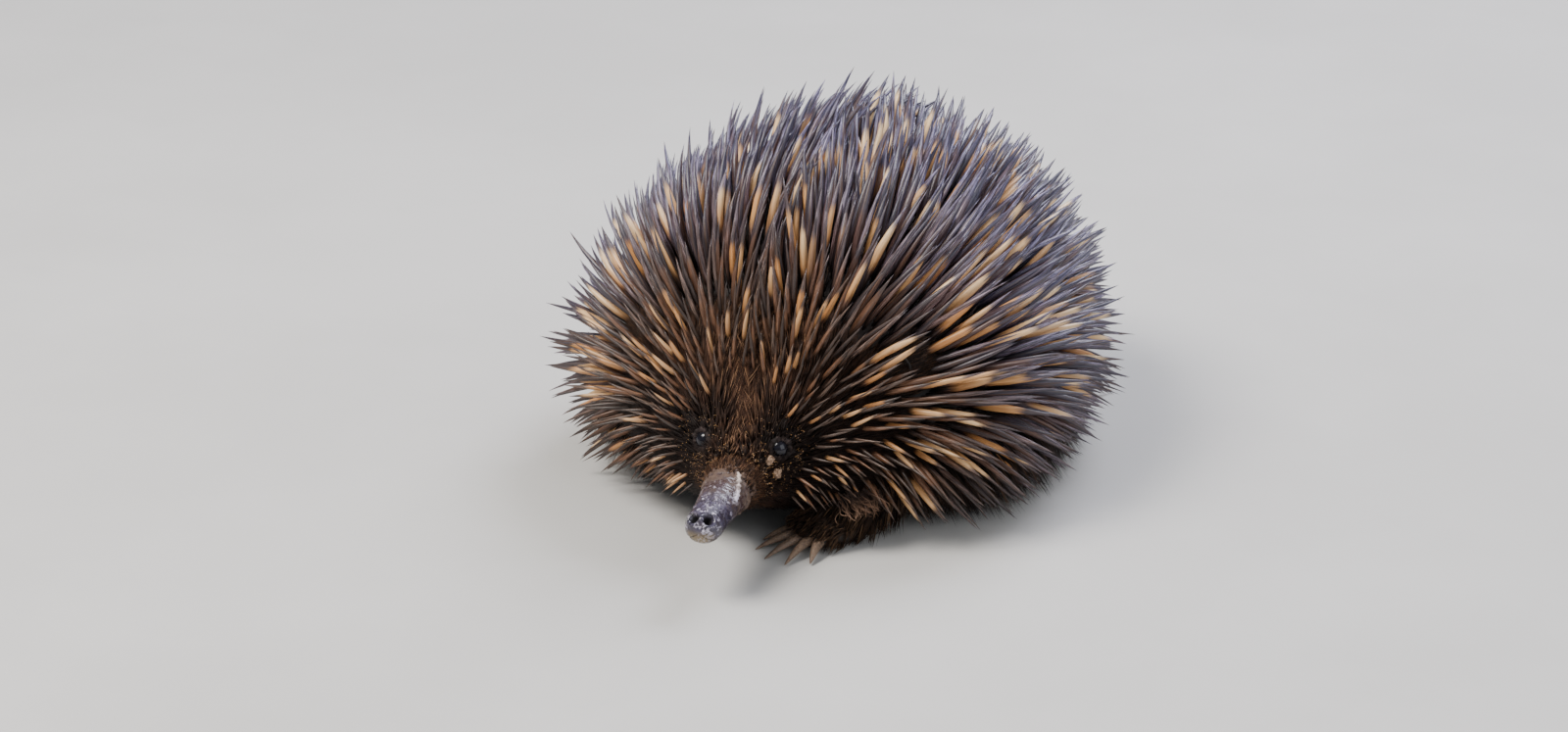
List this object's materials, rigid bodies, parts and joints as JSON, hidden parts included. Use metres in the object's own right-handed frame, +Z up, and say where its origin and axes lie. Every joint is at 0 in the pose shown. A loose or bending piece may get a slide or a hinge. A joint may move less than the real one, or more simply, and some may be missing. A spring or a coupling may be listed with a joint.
{
  "type": "short-beaked echidna",
  "caption": "Still life-size short-beaked echidna in mid-step, low head with a bare tubular beak, domed back covered in stout spines and clawed feet flat on the floor.",
  "frame": {"origin": "middle of the bounding box's base, on the floor that the feet rest on", "axes": "+Y from the beak towards the tail, +X towards the animal's left side, +Z up"},
  "size_m": [0.2418, 0.3283, 0.1581],
  "materials": {
    "back_coat": "dark brown hair under dense spines, grey-brown with cream to ochre bands",
    "face_coat": "fine dark brown hair with small brown and straw spines",
    "beak_skin": "bare slate-grey skin with dried mud",
    "tail_coat": "dark brown hair",
    "ear_skin": "dark skin with short hair",
    "eye_gloss": "wet, dark bluish black",
    "leg_fur": "dark brown hair",
    "claw_horn": "pale worn horn"
  },
  "bodies": {
    "root": {"torso": "back_coat", "head": "face_coat", "snout": "beak_skin", "tail": "tail_coat", "ear_left": "ear_skin", "ear_right": "ear_skin", "eye_left": "eye_gloss", "eye_right": "eye_gloss", "foreleg_left": "leg_fur", "claw_foreleg_left_1": "claw_horn", "claw_foreleg_left_2": "claw_horn", "claw_foreleg_left_3": "claw_horn", "claw_foreleg_left_4": "claw_horn", "claw_foreleg_left_5": "claw_horn", "foreleg_right": "leg_fur", "claw_foreleg_right_1": "claw_horn", "claw_foreleg_right_2": "claw_horn", "claw_foreleg_right_3": "claw_horn", "claw_foreleg_right_4": "claw_horn", "claw_foreleg_right_5": "claw_horn", "hindleg_left": "leg_fur", "claw_hindleg_left_1": "claw_horn", "claw_hindleg_left_2": "claw_horn", "claw_hindleg_left_3": "claw_horn", "claw_hindleg_left_4": "claw_horn", "claw_hindleg_left_5": "claw_horn", "hindleg_right": "leg_fur", "claw_hindleg_right_1": "claw_horn", "claw_hindleg_right_2": "claw_horn", "claw_hindleg_right_3": "claw_horn", "claw_hindleg_right_4": "claw_horn", "claw_hindleg_right_5": "claw_horn"}
  },
  "joints": []
}
